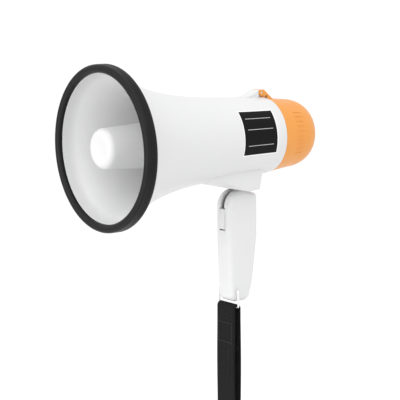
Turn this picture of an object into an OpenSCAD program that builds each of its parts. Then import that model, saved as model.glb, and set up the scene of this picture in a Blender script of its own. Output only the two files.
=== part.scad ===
// Handheld megaphone: a re-entrant horn on a folding hand grip, with a hinged rear cap and a wrist strap.
// Built with the bell's rim plane at y = 0, the horn's axis along +Y at z = 0 and the mouth facing -Y.
// place() then moves it so that the origin is the middle of the hand grip.

/* [Horn] */
// Outside radius over the rubber rim ring
bell_r = 80; // [72:0.5:96]
// Radius that the barrel's outside settles to
barrel_r = 38.6; // [38:0.2:47]
// Distance from the rim plane to the cap seam
body_len = 199.7; // [185:0.1:240]
// Length over which the bell's flare dies away
flare_len = 48; // [40:1:58]
// Wall of the horn shell and of the cap
wall = 2.4; // [2:0.1:2.9]
// Radial width of the rubber ring
ring_w = 8.15; // [7:0.05:9.8]
// Axial length of the rubber ring
ring_len = 11.4; // [9.5:0.1:13.7]
// Radius of the reflector's front end
bullet_r = 19.6; // [17:0.1:23.5]
// Bore radius of the throat
throat_r = 8; // [7:0.1:9.6]

/* [Rear cap] */
// Length of the cap behind the seam
cap_len = 50; // [48:0.5:60]
// Radius of the cap's flat rear end
cap_end_r = 19.3; // [17:0.1:22]
// Length of the cap's rounded rear edge
cap_round_len = 26; // [22:0.5:28]
// How far the cap narrows before the rounded edge
cap_taper = 3; // [2:0.1:3.6]
// Number of grip ribs on each side
rib_count = 10; // [6:1:12]
// Radius of the cap's hinge pin
cap_pin_r = 1; // [0.8:0.05:1.2]

/* [Power and driver] */
// Diameter of one C cell
cell_d = 26.2; // [25:0.1:26.4]
// Length of one C cell
cell_len = 50; // [46:0.5:50]
// Radius of the driver magnet
magnet_r = 30; // [25:0.5:34]
// Thickness of the driver magnet
magnet_t = 10; // [8:0.5:12]
// Outside radius of the voice coil
coil_r = 13.2; // [11:0.1:15.8]

/* [Hand grip] */
// Width across the grip
grip_w = 23; // [21:0.5:27.6]
// Radius of the grip's upper front shoulder
shoulder_r = 17.1; // [15.5:0.1:18]
// Distance from the fold pin to the grip's lower end
grip_drop = 96.5; // [90:0.5:115]
// Wall of the grip halves
grip_wall = 2.4; // [2:0.1:2.9]
// Rounding of the grip's long edges
grip_edge = 5; // [3.5:0.1:6]
// Radius of the fold pin
fold_pin_r = 3; // [2.5:0.1:3.6]
// Width of the bracket that the grip folds under
bracket_w = 49; // [41:0.5:52]
// Thickness of the bracket's lug between the grip halves
lug_t = 5.6; // [4.7:0.1:6.7]
// Width of the trigger
trigger_w = 8.6; // [7:0.1:10]

/* [Wrist strap] */
// Width of the webbing
strap_w = 28; // [24:0.5:30]
// Hanging length of the loop
strap_drop = 122; // [100:1:146]
// Thickness of the webbing
strap_t = 1.6; // [1.2:0.1:1.9]
// Radius of the bail wire
wire_r = 1.1; // [0.9:0.05:1.3]

/* [Fits] */
// Radial running clearance of pins and pivots
run_gap = 0.05; // [0.03:0.01:0.08]
// Clearance between parts that move past each other
free_gap = 0.3; // [0.25:0.05:0.45]
// Gap between a part and the pocket that it is dropped into
fit_gap = 0.2; // [0.1:0.05:0.3]

/* [Hidden] */
$fn = 96;
eps = 0.01;

white = [0.93, 0.93, 0.92];
orange = [0.98, 0.69, 0.36];
black = [0.11, 0.11, 0.12];
steel = [0.72, 0.73, 0.75];
brass = [0.80, 0.66, 0.35];
board_green = [0.10, 0.36, 0.22];

// Horn profile
lip_len = 4.5;
lip_r = bell_r - 4;
flange_r = bell_r - 1.4;
flange_t = 1.2;
flare_y0 = ring_len + flange_t;
flare = (bell_r - 4.5 - barrel_r) * exp(ring_len / flare_len);
function horn_r(y) = barrel_r + flare * exp(-y / flare_len);
function horn_slope(y) = flare / flare_len * exp(-y / flare_len);
crown_len = 12;
seam_r = barrel_r - 0.6;
crown = horn_r(body_len) - seam_r;
function crown_at(y) = y > body_len - crown_len ? crown * pow((y - body_len + crown_len) / crown_len, 2) : 0;
function body_r(y) = horn_r(y) - crown_at(y);
function bore_r(y) = horn_r(y) - wall * sqrt(1 + pow(horn_slope(y), 2));
shell_steps = 44;
function shell_y(i, y0, y1) = y0 + (y1 - y0) * pow(i / shell_steps, 1.35);

// Stations along the barrel, counted forwards from the seam
bore_end_r = seam_r - wall;
collar_r = bore_end_r - 1.2;
collar_wall = 1.2;
collar_len = 3.3;
collar_back = 9;
cell_y1 = body_len - 0.7;
cell_y0 = cell_y1 - cell_len;
spring_len = 4;
holder_t = 2;
holder_y = cell_y0 - spring_len - holder_t;
board_t = 1.6;
board_y = holder_y - 9.6;
yoke_t = 4;
yoke_y = board_y - 4.4 - yoke_t;
magnet_y = yoke_y - magnet_t;
plate_t = 4;
plate_y = magnet_y - plate_t;
throat_t = 7;
throat_y = plate_y - throat_t;
gasket_t = 1;
ledge_t = 2.5;
ledge_y = throat_y - gasket_t - ledge_t;
flange_y = ledge_y - 2.2;
ledge_r = 27;
throat_plate_r = magnet_r + 5.6;
driver_screw_r = magnet_r + 2.8;

// Reflector and tone tube
bullet_wall = 2;
bullet_len = flange_y * 0.85;
bullet_edge = 6;
bullet_flare = 5.4;
tube_y = bullet_len * 0.24;
tube_flare = 3.6;
tube_wall = 1.6;

// Cells
cell_offset = cell_d / 2 + 0.75;
cell_spots = [for (sx = [-1, 1], sz = [-1, 1]) [sx * cell_offset, sz * cell_offset]];

// Cap
cap_y0 = body_len;
cap_y1 = body_len + cap_len;
round_y = cap_y1 - cap_round_len;
cap_mid_r = seam_r - cap_taper;
cap_round_r = cap_mid_r - cap_end_r;
function cap_r(y) = y < round_y ? seam_r - cap_taper * (y - cap_y0) / (round_y - cap_y0)
    : cap_end_r + cap_round_r * sqrt(max(0, 1 - pow((y - round_y) / cap_round_len, 2)));
carrier_y = cap_y0 + collar_len + 0.4;
carrier_t = 2;
carrier_r = cap_r(carrier_y) - wall - fit_gap;
hinge_y = body_len - 7.5;
hinge_z = body_r(hinge_y) + 4.2;
lug_r = 3;
hinge_w = 13;
knuckle_w = 4.6;
grille_r = 11;
grille_open_r = 9.5;
grille_t = 1.8;
grille_pitch = 3.5;
mic_r = 4.85;
mic_len = 6.5;
foam_t = 3;
wheel_r = 9;
wheel_t = 4;
wheel_y = cap_y0 + 15;
wheel_x = -(cap_r(wheel_y) + 1.5 - wheel_r);
control_x = wheel_x + wheel_r + 1.6;
slider_y = wheel_y + 11.5;
slider_travel = 4;
slider_l = 5;

// Grip and bracket, about the fold pin
pin_y = body_len - 35.9;
pin_z = -(barrel_r + 30.9);
bracket_z = pin_z + shoulder_r + free_gap;
half_w = grip_w / 2;
front_y = pin_y - shoulder_r;
lug_half = lug_t / 2;
slot_half = lug_half + free_gap;
boss_x = slot_half + free_gap;
eye_r = fold_pin_r + 4.6;
neck_front = 1;
neck_back = 7;
pin_half = half_w - grip_wall + 0.1;
bail_y = pin_y - 9;
bail_z = pin_z - grip_drop + 12.2;
bail_hole_r = wire_r + run_gap;
bar_z = bail_z - 16.9;
bail_half = strap_w / 2 + 0.5 + wire_r;
grip_screw_spots = [[pin_y + 11.5, pin_z - 17], [pin_y + 3, pin_z - 46], [pin_y + 5, pin_z - 80]];

// Trigger, about its own pin
trig_y = front_y + 5.2;
trig_z = pin_z - 4.2;
trig_pin_r = 1.25;
trig_proud = 2.7;
trig_len = 17.2;

// Saddle screws
saddle_spots = [for (sx = [-1, 1], y = [board_y + 5.3, pin_y + 6.5]) [sx * 17, y]];

// The origin is the middle of the hand grip
origin_y = pin_y;
origin_z = pin_z - grip_drop / 2;

module place() { translate([0, -origin_y, -origin_z]) children(); }

// Turns +Z into +Y, starting at y
module along(y) { translate([0, y, 0]) rotate([-90, 0, 0]) children(); }

// Turns +Z into +X, starting at x
module across(x) { translate([x, 0, 0]) rotate([0, 90, 0]) children(); }

// A disc or cylinder along Y at x, z
module rod_y(x, z, y0, y1, r) { translate([x, 0, z]) along(y0) cylinder(r = r, h = y1 - y0, $fn = 48); }

// A cylinder along X at y, z
module rod_x(y, z, x0, x1, r) { translate([0, y, z]) across(x0) cylinder(r = r, h = x1 - x0, $fn = 48); }

// Turns a list of [radius, y] points about the horn's axis
module turned(points) { along(0) rotate_extrude() polygon(points); }

// A plate of width w across X whose outline is drawn as [y, z]
module slab(w) { rotate([90, 0, 90]) linear_extrude(w, center = true) children(); }

function shell_outline(y0, y1) = [for (i = [0:shell_steps]) let (y = shell_y(i, y0, y1)) [body_r(y), y]];
function bore_outline(y0, y1) = [for (i = [0:shell_steps]) let (y = shell_y(i, y0, y1)) [bore_r(y), y]];

function reversed(list) = [for (i = [len(list) - 1:-1:0]) list[i]];

// The solid that the barrel's outside encloses, used to seat what lies on it
module barrel_solid(grow = 0) {
    turned(concat(
        [[0, flare_y0]],
        [for (p = shell_outline(flare_y0, body_len)) [p[0] + grow, p[1]]],
        [[0, body_len]]
    ));
}

module horn_shell() {
    color(white) place() difference() {
        union() {
            turned(concat(
                [[bell_r - ring_w, lip_len], [lip_r, lip_len], [lip_r, ring_len], [flange_r, ring_len]],
                [[flange_r, flare_y0]],
                shell_outline(flare_y0, body_len),
                [[collar_r, body_len], [collar_r, body_len + collar_len]],
                [[collar_r - collar_wall, body_len + collar_len]],
                [[collar_r - collar_wall, body_len - collar_back]],
                [[bore_r(body_len - collar_back - 2), body_len - collar_back - 2]],
                reversed(bore_outline(ledge_y + ledge_t, body_len - collar_back - 3)),
                [[ledge_r, ledge_y + ledge_t], [ledge_r, ledge_y]],
                reversed(bore_outline(flare_y0, ledge_y))
            ));
            hinge_fin();
        }
        rod_x(hinge_y, hinge_z, -knuckle_w, knuckle_w, cap_pin_r);
        for (a = [0:90:270]) rotate([0, a + 45, 0]) {
            rod_y(driver_screw_r, 0, ledge_y - 1, ledge_y + ledge_t + 1, 1.3);
            rotate([0, 45, 0]) rod_y(driver_screw_r, 0, ledge_y - 1, ledge_y + ledge_t + 1, 1.3);
        }
        for (p = saddle_spots)
            translate([p[0], p[1], -barrel_r - 4]) cylinder(r = 1.7, h = 16, $fn = 24);
        translate([0, pin_y - 12, -barrel_r - 4]) cylinder(r = 3, h = 12, $fn = 24);
    }
}

// Ramp and centre knuckle that carry the cap's hinge pin
module hinge_fin() {
    top_z = hinge_z + lug_r;
    fin_y = hinge_y - lug_r - 0.4;
    root = 1.2;
    difference() {
        union() {
            slab(hinge_w) polygon([
                [fin_y - 17, body_r(fin_y - 17) - root], [fin_y - 17, body_r(fin_y - 17) + 0.1],
                [fin_y - 11.5, top_z - 2.6], [fin_y - 6, top_z - 0.7], [fin_y - 1.5, top_z],
                [fin_y, top_z], [fin_y, body_r(fin_y) - root]
            ]);
            slab(knuckle_w) polygon([
                [fin_y - 1, top_z], [hinge_y, top_z], [hinge_y + 2, hinge_z - 2.2],
                [hinge_y + 2, body_r(hinge_y) - root], [fin_y - 1, body_r(fin_y) - root]
            ]);
            rod_x(hinge_y, hinge_z, -knuckle_w / 2, knuckle_w / 2, lug_r);
        }
        turned([[0, fin_y - 30], [bore_r(fin_y - 30) + 0.5, fin_y - 30], [bore_r(fin_y) + 0.5, fin_y],
            [bore_end_r, body_len], [0, body_len]]);
    }
}

module rim_ring() {
    inner = bell_r - ring_w;
    round_r = 2.6;
    color(black) place() turned(concat(
        [[inner, lip_len]],
        [for (a = [0:15:90]) [inner + round_r - round_r * cos(a), round_r - round_r * sin(a)]],
        [for (a = [90:-15:0]) [bell_r - round_r + round_r * cos(a), round_r - round_r * sin(a)]],
        [[bell_r, ring_len - 0.8], [bell_r - 0.8, ring_len], [lip_r, ring_len], [lip_r, lip_len]]
    ));
}

module reflector() {
    dimple = 1.6;
    function skin_r(y) = bullet_r + bullet_flare * pow(y / bullet_len, 1.4);
    nose = [for (a = [0:15:90])
        [skin_r(bullet_edge) - bullet_edge + bullet_edge * sin(a), bullet_edge - bullet_edge * cos(a)]];
    dish = [for (i = [0:8]) let (r = (bullet_r - bullet_edge) * i / 8)
        [r, dimple * pow(1 - pow(i / 8, 2), 2)]];
    side = [for (i = [1:12]) let (y = bullet_edge + (bullet_len - bullet_edge) * i / 12) [skin_r(y), y]];
    inside = [for (i = [12:-1:1]) let (y = bullet_edge + (bullet_len - bullet_edge) * i / 12)
        [skin_r(y) - bullet_wall, y]];
    color(white) place() translate([0, 0.4, 0]) turned(concat(
        dish, nose, side, inside,
        [[skin_r(bullet_edge) - bullet_wall - 1.5, bullet_edge + 0.5],
            [bullet_r - bullet_edge, dimple + bullet_wall], [0, dimple + bullet_wall + 0.4]]
    ));
}

// Inner horn: flange on the ledge, flared tube up into the reflector and three fins that hold the reflector
module tone_tube() {
    function tube_r(y) = throat_r + tube_flare * (flange_y - y) / (flange_y - tube_y);
    fin_y0 = bullet_len * 0.45;
    fin_y1 = bullet_len * 0.8;
    flange_out = bore_r(flange_y) - 0.3;
    function skin_in(y) = bullet_r + bullet_flare * pow((y - 0.4) / bullet_len, 1.4) - bullet_wall - 0.25;
    color(white) place() difference() {
        union() {
            turned([
                [throat_r, ledge_y], [flange_out, ledge_y], [flange_out, flange_y],
                [tube_r(flange_y) + tube_wall + 2, flange_y],
                [tube_r(flange_y - 3) + tube_wall, flange_y - 3],
                [tube_r(tube_y) + tube_wall, tube_y], [tube_r(tube_y), tube_y], [throat_r, flange_y]
            ]);
            for (a = [90, 210, 330]) rotate([0, a, 0])
                linear_extrude(1.6, center = true) polygon([
                    [tube_r(fin_y1) + tube_wall / 2, fin_y1], [skin_in(fin_y1), fin_y1],
                    [skin_in(fin_y0), fin_y0], [tube_r(fin_y0) + tube_wall / 2, fin_y0]
                ]);
        }
        for (a = [0:90:270]) rotate([0, a + 90, 0])
            rod_y(driver_screw_r, 0, flange_y - 3, ledge_y + 1, 1.6);
    }
}

// A pan-head screw along Y whose head's face is at y, pointing towards dir
module screw_y(x, z, y, len, dir) {
    head_t = 1.6;
    translate([x, y, z]) rotate([-90 * dir, 0, 0]) {
        difference() {
            translate([0, 0, -head_t]) cylinder(r = 2.4, h = head_t, $fn = 32);
            for (a = [0, 90]) rotate([0, 0, a])
                translate([-1.3, -0.25, -head_t - eps]) cube([2.6, 0.5, 0.8]);
        }
        cylinder(r = 1.25, h = len, $fn = 32);
    }
}

module throat_screws() {
    color(steel) place() for (a = [0:90:270]) rotate([0, a + 90, 0])
        screw_y(driver_screw_r, 0, flange_y, 4.4, 1);
}

module driver_gasket() {
    y0 = ledge_y + ledge_t;
    color(black) place() difference() {
        turned([[ledge_r, y0], [throat_plate_r, y0],
            [throat_plate_r, y0 + gasket_t], [ledge_r, y0 + gasket_t]]);
        driver_holes(y0 - 1, y0 + gasket_t + 1);
    }
}

module driver_holes(y0, y1) {
    for (a = [0:90:270]) rotate([0, a + 45, 0]) rod_y(driver_screw_r, 0, y0, y1, 1.6);
    for (a = [0:90:270]) rotate([0, a + 90, 0]) rod_y(driver_screw_r, 0, y0, y1, 1.6);
}

// Plate between the ledge and the driver, with the throat and the chamber over the diaphragm
module throat_plate() {
    chamber_r = coil_r + 5;
    y0 = ledge_y;
    color([0.25, 0.25, 0.27]) place() difference() {
        turned([
            [throat_r, y0], [ledge_r - 0.1, y0], [ledge_r - 0.1, throat_y], [throat_plate_r, throat_y],
            [throat_plate_r, throat_y + 3], [magnet_r, throat_y + 3], [magnet_r, plate_y],
            [chamber_r, plate_y], [chamber_r, plate_y - 3], [throat_r, plate_y - 5.4]
        ]);
        for (a = [0:90:270]) rotate([0, a + 45, 0])
            rod_y(driver_screw_r, 0, throat_y - 1, throat_y + 4, 1.6);
        for (a = [0:90:270]) rotate([0, a + 90, 0])
            rod_y(driver_screw_r, 0, throat_y - 1, throat_y + 1.6, 1.6);
    }
}

module driver_screws() {
    color(steel) place() for (a = [0:90:270]) rotate([0, a + 45, 0])
        screw_y(driver_screw_r, 0, throat_y + 3, 6, -1);
}

module diaphragm() {
    rim_r = coil_r + 4.6;
    base_y = plate_y - 0.9;
    t = 0.3;
    dome = [for (i = [0:8]) let (r = coil_r * i / 8) [r, base_y - 3.2 * (1 - pow(i / 8, 2))]];
    roll = [for (a = [0:30:180]) [coil_r + 2.1 - 1.7 * cos(a), base_y - 0.9 * sin(a)]];
    face = concat(dome, roll, [[rim_r, base_y]]);
    color([0.55, 0.42, 0.30]) place()
        turned(concat(face, [for (p = reversed(face)) [p[0], p[1] + t]]));
}

module voice_coil() {
    y0 = plate_y - 0.6;
    color(brass) place()
        turned([[coil_r - 0.6, y0], [coil_r, y0],
            [coil_r, plate_y + plate_t], [coil_r - 0.6, plate_y + plate_t]]);
}

module top_plate() {
    color(steel) place()
        turned([[coil_r + 0.3, plate_y], [magnet_r, plate_y],
            [magnet_r, magnet_y], [coil_r + 0.3, magnet_y]]);
}

module magnet() {
    color([0.22, 0.22, 0.23]) place()
        turned([[coil_r + 3, magnet_y], [magnet_r, magnet_y], [magnet_r, yoke_y], [coil_r + 3, yoke_y]]);
}

module pole_yoke() {
    pole_r = coil_r - 1;
    color(steel) place()
        turned([[0, plate_y + 0.6], [pole_r, plate_y + 0.6], [pole_r, yoke_y], [magnet_r, yoke_y],
            [magnet_r, yoke_y + yoke_t], [0, yoke_y + yoke_t]]);
}

board_r = bore_r(board_y) - 0.8;
post_spots = [for (a = [90, 210, 330]) [(board_r - 4) * cos(a), (board_r - 4) * sin(a)]];

module amp_board() {
    color(board_green) place() difference() {
        rod_y(0, 0, board_y, board_y + board_t, board_r);
        for (p = post_spots) rod_y(p[0], p[1], board_y - 1, board_y + board_t + 1, 1.5);
        for (sx = [-1, 1]) rod_y(sx * 12, -board_r + 5, board_y - 1, board_y + board_t + 1, 1);
    }
}

// Capacitors, driver chip and a transformer on the board's rear face
module board_parts() {
    y0 = board_y + board_t;
    color([0.20, 0.22, 0.30]) place() {
        rod_y(16, 12, y0, y0 + 7, 4);
        rod_y(16, 1, y0, y0 + 7, 4);
        rod_y(7, -20, y0, y0 + 6, 3.2);
        translate([-14, y0, -6]) cube([12, 5, 12]);
        translate([-2, y0, 14]) cube([9, 3, 6]);
        translate([-20, y0, -18]) cube([8, 2.4, 6]);
    }
}

module heat_sink() {
    y0 = board_y + board_t;
    color([0.75, 0.76, 0.78]) place() {
        translate([-24, y0, 10]) cube([14, 1.6, 14]);
        for (i = [0:4]) translate([-24 + i * 3, y0 + 1, 10]) cube([1.2, 5.4, 14]);
    }
}

module board_screws() {
    color(steel) place() for (p = post_spots) screw_y(p[0], p[1], board_y, 8, 1);
}

// End plate with cross walls between the cells and the posts that carry the board
module battery_holder() {
    plate_out = bore_r(holder_y + holder_t) - 0.3;
    cross_t = 1.2;
    cross_r = cell_offset + cell_d / 2 - 1;
    color(black) place() difference() {
        union() {
            rod_y(0, 0, holder_y, holder_y + holder_t, plate_out);
            for (p = post_spots) rod_y(p[0], p[1], board_y + board_t, holder_y + 0.5, 3);
            translate([-cross_t / 2, holder_y + 1, -cross_r])
                cube([cross_t, cell_y1 - holder_y - 4, 2 * cross_r]);
            translate([-cross_r, holder_y + 1, -cross_t / 2])
                cube([2 * cross_r, cell_y1 - holder_y - 4, cross_t]);
        }
        for (p = post_spots) rod_y(p[0], p[1], board_y - 1, holder_y - 1, 1.25);
    }
}

module battery_cells() {
    color([0.20, 0.30, 0.55]) place() for (i = [0:3]) {
        p = cell_spots[i];
        flip = i == 0 || i == 3;
        y0 = cell_y0 + (flip ? 1.5 : 0);
        rod_y(p[0], p[1], y0, y0 + cell_len - 1.5, cell_d / 2);
        rod_y(p[0], p[1], flip ? cell_y0 : cell_y1 - 1.6, flip ? cell_y0 + 1.6 : cell_y1, 3);
    }
}

// A conical coil of wire along +Z: w is the wire's radius
module cone_coil(r0, r1, h, turns, w) {
    steps = 12 * turns;
    sides = 6;
    function ring(i) = let (a = 360 * i / 12, k = i / steps, r = r0 + (r1 - r0) * k, z = w + (h - 2 * w) * k)
        [for (s = [0:sides - 1]) let (b = 360 * s / sides)
            [(r + w * cos(b)) * cos(a), (r + w * cos(b)) * sin(a), z + w * sin(b)]];
    points = [for (i = [0:steps]) each ring(i)];
    faces = concat(
        [[for (s = [0:sides - 1]) s]],
        [for (i = [0:steps - 1], s = [0:sides - 1]) let (n = (s + 1) % sides)
            [i * sides + s, (i + 1) * sides + s, (i + 1) * sides + n, i * sides + n]],
        [[for (s = [sides - 1:-1:0]) steps * sides + s]]
    );
    polyhedron(points, faces, convexity = 8);
}

module contact_springs() {
    color(steel) place() for (p = cell_spots)
        translate([p[0], 0, p[1]]) along(holder_y + holder_t) cone_coil(8, 4, spring_len, 4, 0.45);
}

// Two leads from the board down past the yoke to the voice coil's terminals
module driver_leads() {
    lead_r = 0.8;
    color([0.70, 0.12, 0.10]) place() for (sx = [-1, 1]) {
        rod_y(sx * 12, -board_r + 5, throat_y + 3.5, board_y + board_t + 1.2, lead_r);
    }
}

// Blank rating plate on the barrel's side
plate_y0 = body_len - 57;
plate_y1 = body_len - 13;
module name_plate() {
    t = 0.3;
    color(black) place() intersection() {
        difference() {
            turned(concat([[0, plate_y0]],
                [for (i = [0:8]) let (y = plate_y0 + (plate_y1 - plate_y0) * i / 8)
                [body_r(y) + t, y]], [[0, plate_y1]]));
            barrel_solid();
        }
        translate([20, plate_y0 - 1, -14.5]) cube([40, plate_y1 - plate_y0 + 2, 43]);
    }
}

// Saddle under the barrel: a hollow shell with screw bosses, and the lug that the grip turns on
module saddle_bracket() {
    half = bracket_w / 2;
    nose_y = pin_y - 47;
    tail_y = pin_y + 15.9;
    skin = 2.6;
    module saddle_form(inset) {
        side = half - inset;
        hull() {
            intersection() {
                along(nose_y + inset * 4) cylinder(r = body_r(nose_y) + 0.2 - inset, h = 0.5, $fn = 64);
                translate([-side, nose_y, -barrel_r - 20]) cube([2 * side, 30, barrel_r]);
            }
            slab(2 * side) polygon([
                [pin_y - 4, -barrel_r + 8], [pin_y - 4, bracket_z + inset],
                [pin_y + 1.2, bracket_z + inset - 0.1],
                [pin_y + 11.5 - inset, bracket_z + 1.2 + inset], [tail_y - inset, -barrel_r + 8]
            ]);
        }
    }
    color(white) place() difference() {
        union() {
            difference() {
                saddle_form(0);
                saddle_form(skin);
            }
            for (p = saddle_spots) intersection() {
                translate([p[0], p[1], -barrel_r - 18]) cylinder(r = 3.4, h = 30, $fn = 32);
                saddle_form(0.5);
            }
            fold_lug();
        }
        barrel_solid();
        rod_x(pin_y, pin_z, -lug_t, lug_t, fold_pin_r);
        for (p = saddle_spots)
            translate([p[0], p[1], -barrel_r - 4]) cylinder(r = 1.25, h = 20, $fn = 24);
    }
}

// Lug between the grip halves: a neck down to an eye on the fold pin
module fold_lug() {
    slab(lug_t) union() {
        translate([pin_y, pin_z]) circle(r = eye_r);
        translate([pin_y - neck_front, pin_z]) square([neck_front + neck_back, shoulder_r + free_gap + 3]);
    }
}

module bracket_screws() {
    color(steel) place() for (p = saddle_spots)
        translate([p[0], p[1], -sqrt(pow(bore_r(p[1]), 2) - pow(abs(p[0]) + 2.5, 2))]) mirror([0, 0, 1]) {
            cylinder(r = 1.25, h = 8, $fn = 32);
            translate([0, 0, -1.6]) cylinder(r = 2.4, h = 1.6, $fn = 32);
        }
}

module fold_pin() {
    color(steel) place() rod_x(pin_y, pin_z, -pin_half, pin_half, fold_pin_r);
}

module cap_pin() {
    color(steel) place() rod_x(hinge_y, hinge_z, -hinge_w / 2, hinge_w / 2, cap_pin_r);
}

function cap_outline(inset, y0, y1) = [for (i = [0:20]) let (y = y0 + (y1 - y0) * sin(90 * i / 20))
    [cap_r(y) - inset, y]];

module rear_cap() {
    inner_y1 = cap_y1 - wall;
    color(orange) place() difference() {
        union() {
            difference() {
                turned(concat([[0, cap_y0 + 0.25]], cap_outline(0, cap_y0 + 0.25, cap_y1), [[0, cap_y1]]));
                turned(concat([[0, cap_y0 - 1]], [[seam_r - wall, cap_y0 - 1]],
                    cap_outline(wall, cap_y0 + 0.25, inner_y1), [[0, inner_y1]]));
            }
            cap_lugs();
            side_ribs();
            intersection() {
                turned(concat([[0, cap_y0]], cap_outline(0.5, cap_y0, cap_y1 - 0.5), [[0, cap_y1 - 0.5]]));
                for (a = carrier_angles) rotate([0, -a, 0])
                    rod_y(carrier_boss_r, 0, carrier_y + carrier_t, cap_y1, 3);
            }
            latch_tongue();
        }
        rod_x(hinge_y, hinge_z, -hinge_w, hinge_w, cap_pin_r + run_gap);
        rod_y(0, 0, cap_y1 - wall - 1, cap_y1 + 1, grille_open_r);
        rod_y(0, 0, cap_y1 - grille_t, cap_y1 + 1, grille_r + 0.05);
        for (a = carrier_angles) rotate([0, -a, 0])
            rod_y(carrier_boss_r, 0, carrier_y, carrier_y + carrier_t + 8, 1.25);
        translate([wheel_x - 20, wheel_y - wheel_t / 2 - 0.4, -9.2])
            cube([20 - wheel_r * 0.2, wheel_t + 0.8, 18.4]);
        translate([-50, slider_y - slider_l / 2 - 0.2, -2.2])
            cube([50 + control_x, slider_l + slider_travel + 0.4, 4.4]);
    }
}

carrier_angles = [50, 130, 230, 310];
carrier_boss_r = cap_mid_r - wall - 3.2;

// Two lugs that reach forwards over the barrel to the hinge pin
module cap_lugs() {
    lug_w = (hinge_w - knuckle_w) / 2 - free_gap;
    top_z = hinge_z + lug_r;
    difference() {
        for (sx = [-1, 1]) translate([sx * (hinge_w - lug_w) / 2, 0, 0]) {
            rod_x(hinge_y, hinge_z, -lug_w / 2, lug_w / 2, lug_r);
            slab(lug_w) polygon([
                [hinge_y, hinge_z - lug_r], [hinge_y, top_z], [hinge_y + 3.4, top_z],
                [cap_y0 + 4, seam_r + 1.2], [cap_y0 + 7, cap_r(cap_y0 + 7) - 0.3],
                [cap_y0 + 7, cap_r(cap_y0 + 7) - 1.5], [cap_y0 + 0.25, seam_r - wall + 1],
                [cap_y0 + 0.25, hinge_z - lug_r]
            ]);
        }
        barrel_solid(free_gap);
    }
}

// Short bars down each side that the fingers pull on
module side_ribs() {
    rib_y0 = round_y - 8;
    rib_y1 = round_y + 3;
    pitch = 8;
    first = 42;
    for (side = [0, 1]) mirror([side, 0, 0])
        for (i = [0:rib_count - 1]) if (side == 0 || abs(first - i * pitch) > 22)
            rotate([0, -(first - i * pitch), 0]) slab_radial(rib_y0, rib_y1, 1.5);
}

// A rib along the cap's side at x > 0 that follows its outline and stands 0.6 proud
module slab_radial(y0, y1, w) {
    proud = 0.6;
    steps = 6;
    line = [for (i = [0:steps]) let (y = y0 + (y1 - y0) * i / steps) [y, cap_r(y)]];
    linear_extrude(w, center = true) polygon(concat(
        [[line[0][1] - 1, y0]],
        [for (i = [0:steps]) [line[i][1] + proud * sin(180 * (0.12 + 0.76 * i / steps)), line[i][0]]],
        [[line[steps][1] - 1, y1]]
    ));
}

// Tongue at the cap's lower edge that slides inside the collar
module latch_tongue() {
    r = collar_r - 1.6;
    difference() {
        slab(9) polygon([
            [cap_y0 - 4, -r + 2.2], [cap_y0 - 4.6, -r + 1.2], [cap_y0 - 3.4, -r + 0.5],
            [cap_y0 + collar_len + 0.3, -r + 0.5], [cap_y0 + collar_len + 0.3, -seam_r + wall - 0.6],
            [cap_y0 + collar_len + 3, -seam_r + wall - 0.6], [cap_y0 + collar_len + 3, -r + 2.2]
        ]);
        turned([[0, carrier_y], [carrier_r + 0.2, carrier_y], [carrier_r, carrier_y + carrier_t + 0.2],
            [0, carrier_y + carrier_t + 0.2]]);
    }
}

function hex_spots(rings, pitch) = [for (i = [-rings:rings], j = [-rings:rings])
    if (abs(i + j) <= rings) [pitch * (i + j / 2), pitch * j * sqrt(3) / 2]];

module mic_grille() {
    color(black) place() difference() {
        union() {
            rod_y(0, 0, cap_y1 - grille_t, cap_y1, grille_r);
            rod_y(0, 0, cap_y1 - wall, cap_y1 - grille_t + 0.1, grille_open_r - 0.1);
            difference() {
                rod_y(0, 0, cap_y1 - wall - foam_t - mic_len + 2, cap_y1 - wall + 0.1, mic_r + 1.6);
                rod_y(0, 0, cap_y1 - wall - foam_t - mic_len, cap_y1 - wall, mic_r + 0.05);
            }
        }
        for (p = hex_spots(2, grille_pitch)) rod_y(p[0], p[1], cap_y1 - wall - 1, cap_y1 + 1, 1);
    }
}

module mic_foam() {
    color([0.16, 0.16, 0.17]) place() rod_y(0, 0, cap_y1 - wall - foam_t + 0.4, cap_y1 - wall, mic_r);
}

module microphone() {
    y1 = cap_y1 - wall - foam_t + 0.4;
    color(steel) place() difference() {
        rod_y(0, 0, y1 - mic_len, y1, mic_r);
        rod_y(0, 0, y1 - 0.4, y1 + 1, 2);
        for (a = [0:60:300]) rotate([0, a, 0]) rod_y(3.2, 0, y1 - 0.4, y1 + 1, 0.5);
    }
}

module contact_carrier() {
    y1 = carrier_y + carrier_t;
    color(black) place() difference() {
        union() {
            turned([[0, carrier_y], [carrier_r, carrier_y],
                [cap_r(y1) - wall - fit_gap, y1], [0, y1]]);
            for (sz = [-1, 1]) translate([control_x - 0.8 - 1.6, y1 - 0.5, sz * 8 - 1.5])
                cube([4.8, 4.5, 3]);
        }
        translate([control_x - 0.85, y1, -20]) cube([1.7, 10, 40]);
        for (a = carrier_angles) rotate([0, -a, 0]) rod_y(carrier_boss_r, 0, carrier_y - 1, y1 + 1, 1.5);
        translate([-5.2, carrier_y - 1, -carrier_r - 1]) cube([10.4, carrier_t + 2, 5]);
    }
}

// Two brass bridges that join the cells in pairs
module cap_contacts() {
    color(brass) place() for (sx = [-1, 1]) {
        translate([sx * cell_offset - 5, carrier_y - 0.6, -cell_offset - 5])
            cube([10, 0.6, 2 * cell_offset + 10]);
        for (sz = [-1, 1]) rod_y(sx * cell_offset, sz * cell_offset, cell_y1 + 0.1, carrier_y - 0.5, 3.5);
    }
}

module carrier_screws() {
    color(steel) place() for (a = carrier_angles) rotate([0, -a, 0])
        screw_y(carrier_boss_r, 0, carrier_y, 8, 1);
}

module control_board() {
    y0 = carrier_y + carrier_t;
    color(board_green) place()
        translate([control_x - 0.8, y0, -13]) cube([1.6, slider_y + 8 - y0, 26]);
}

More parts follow.
